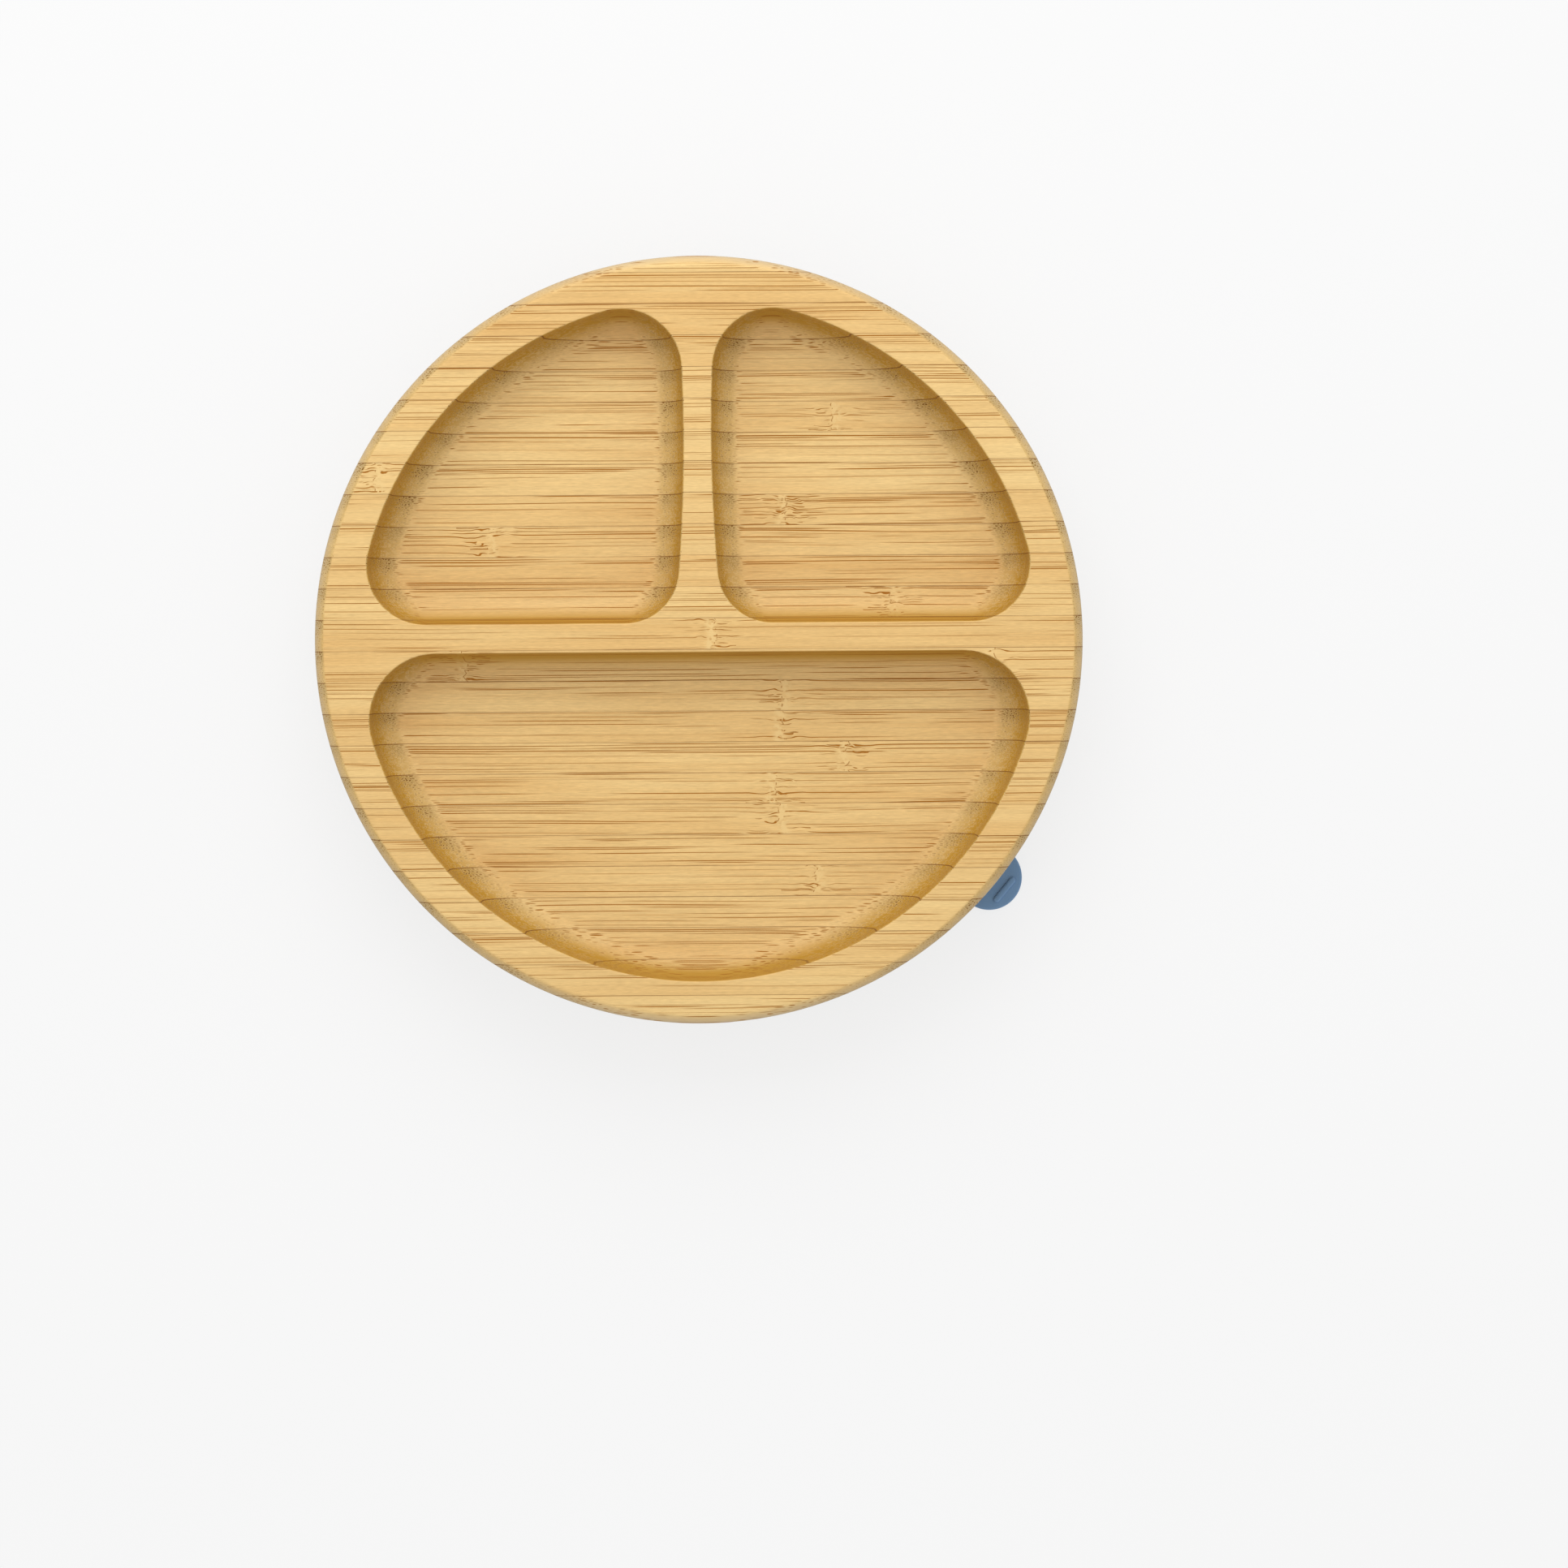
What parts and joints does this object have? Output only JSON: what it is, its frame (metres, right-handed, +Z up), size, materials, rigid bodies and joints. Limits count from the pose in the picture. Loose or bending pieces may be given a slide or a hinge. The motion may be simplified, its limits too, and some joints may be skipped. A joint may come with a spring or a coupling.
{
  "type": "baby suction plate",
  "caption": "Round bamboo plate with routed food pockets, on a hub that holds a silicone suction ring with a pull tab.",
  "frame": {"origin": "on the plate's axis, at the table that the suction lip rests on", "axes": "+Z up, +X along the bamboo strips, +Y from the wide pocket towards the two small pockets"},
  "size_m": [0.18, 0.18, 0.034],
  "materials": {
    "board_bamboo": "oiled, satin",
    "hub_bamboo": "oiled, satin",
    "silicone": "soft matt",
    "brad_steel": "dull"
  },
  "bodies": {
    "suction_ring": {"suction_flange": "silicone"},
    "ring_collar": {"ring_collar": "silicone"},
    "plate": {"bamboo_strip_01": "board_bamboo", "bamboo_strip_02": "board_bamboo", "bamboo_strip_03": "board_bamboo", "bamboo_strip_04": "board_bamboo", "bamboo_strip_05": "board_bamboo", "bamboo_strip_06": "board_bamboo", "bamboo_strip_07": "board_bamboo", "bamboo_strip_08": "board_bamboo", "bamboo_strip_09": "board_bamboo", "bamboo_strip_10": "board_bamboo", "bamboo_strip_11": "board_bamboo", "bamboo_strip_12": "board_bamboo", "bamboo_strip_13": "board_bamboo", "bamboo_strip_14": "board_bamboo", "bamboo_strip_15": "board_bamboo", "bamboo_strip_16": "board_bamboo", "bamboo_strip_17": "board_bamboo", "bamboo_strip_18": "board_bamboo", "bamboo_strip_19": "board_bamboo", "bamboo_strip_20": "board_bamboo", "bamboo_strip_21": "board_bamboo", "bamboo_strip_22": "board_bamboo", "bamboo_strip_23": "board_bamboo", "bamboo_strip_24": "board_bamboo", "bamboo_strip_25": "board_bamboo", "base_hub": "hub_bamboo", "brad_1": "brad_steel", "brad_2": "brad_steel", "brad_3": "brad_steel", "brad_4": "brad_steel", "brad_5": "brad_steel", "brad_6": "brad_steel"},
    "pull_tab": {"pull_tab": "silicone"}
  },
  "joints": [
    {"name": "press_to_table", "type": "slide", "parent": "suction_ring", "child": "ring_collar", "axis": [0, 0, -1], "range_m": [0, 0.003], "stiffness_N_per_m": 2500, "springref_m": -0.0015},
    {"name": "plate_turn", "type": "hinge", "parent": "ring_collar", "child": "plate", "pos_m": [0, 0, 0.011], "axis": [0, 0, 1], "continuous": true},
    {"name": "tab_lift", "type": "hinge", "parent": "suction_ring", "child": "pull_tab", "pos_m": [0.05859, -0.04864, 0.0016], "axis": [-0.6388, -0.7694, 0], "range_deg": [0, 25], "stiffness_Nm_per_rad": 0.006}
  ]
}
